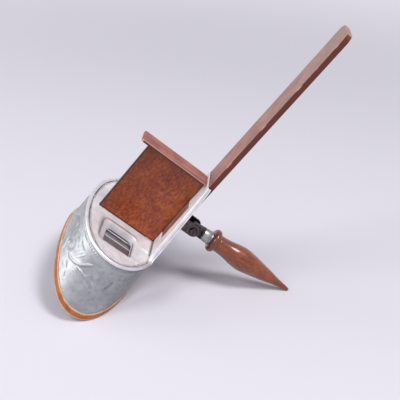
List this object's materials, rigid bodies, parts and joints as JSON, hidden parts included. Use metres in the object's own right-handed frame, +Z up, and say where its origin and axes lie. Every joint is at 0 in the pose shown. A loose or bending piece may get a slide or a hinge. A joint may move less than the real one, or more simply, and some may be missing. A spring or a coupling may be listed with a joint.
{
  "type": "handheld stereoscope",
  "caption": "Handheld stereo card viewer with a rimmed metal hood, lenses, a wooden septum and rail, and a turned handle that folds on a hinge.",
  "frame": {"origin": "centre of the footprint box, on the surface that the hood's rim and the handle's tip rest on", "axes": "+X is the horizontal direction in which the rail rises, +Y is towards the wearer's left, and +Z is up. The viewer stands tipped 56.5 degrees, as it rests on its rim and handle."},
  "size_m": [0.244, 0.1782, 0.2679],
  "materials": {
    "embossed_aluminium": "worn satin, embossed",
    "cloth_binding": "woven cloth, worn",
    "pale_aluminium": "satin",
    "lens_glass": "clear, polished",
    "frame_aluminium": "dull",
    "septum_wood": "varnished, mottled",
    "screw_steel": "plain",
    "rail_wood": "varnished",
    "dark_steel": "blackened",
    "nickel": "bright nickel",
    "turned_wood": "glossy varnish"
  },
  "bodies": {
    "viewer": {"hood_shell": "embossed_aluminium", "hood_binding": "cloth_binding", "plate_bead": "embossed_aluminium", "lens_plate": "pale_aluminium", "lens_right": "lens_glass", "lens_left": "lens_glass", "lens_frame_right": "frame_aluminium", "lens_frame_left": "frame_aluminium", "rail_bracket": "pale_aluminium", "septum_board": "septum_wood", "septum_end_strip": "rail_wood", "septum_screws": "screw_steel", "rail": "rail_wood", "hinge_bracket": "dark_steel", "hinge_screws": "screw_steel", "hinge_pin": "dark_steel", "hinge_nut": "dark_steel", "hinge_spacers": "dark_steel"},
    "handle": {"handle_tongue": "dark_steel", "handle_ferrule": "nickel", "ferrule_pin": "nickel", "handle_grip": "turned_wood"}
  },
  "joints": [
    {"name": "handle_fold", "type": "hinge", "parent": "viewer", "child": "handle", "pos_m": [0.00491, 0, 0.06111], "axis": [0, -1, 0], "range_deg": [0, 88]}
  ]
}
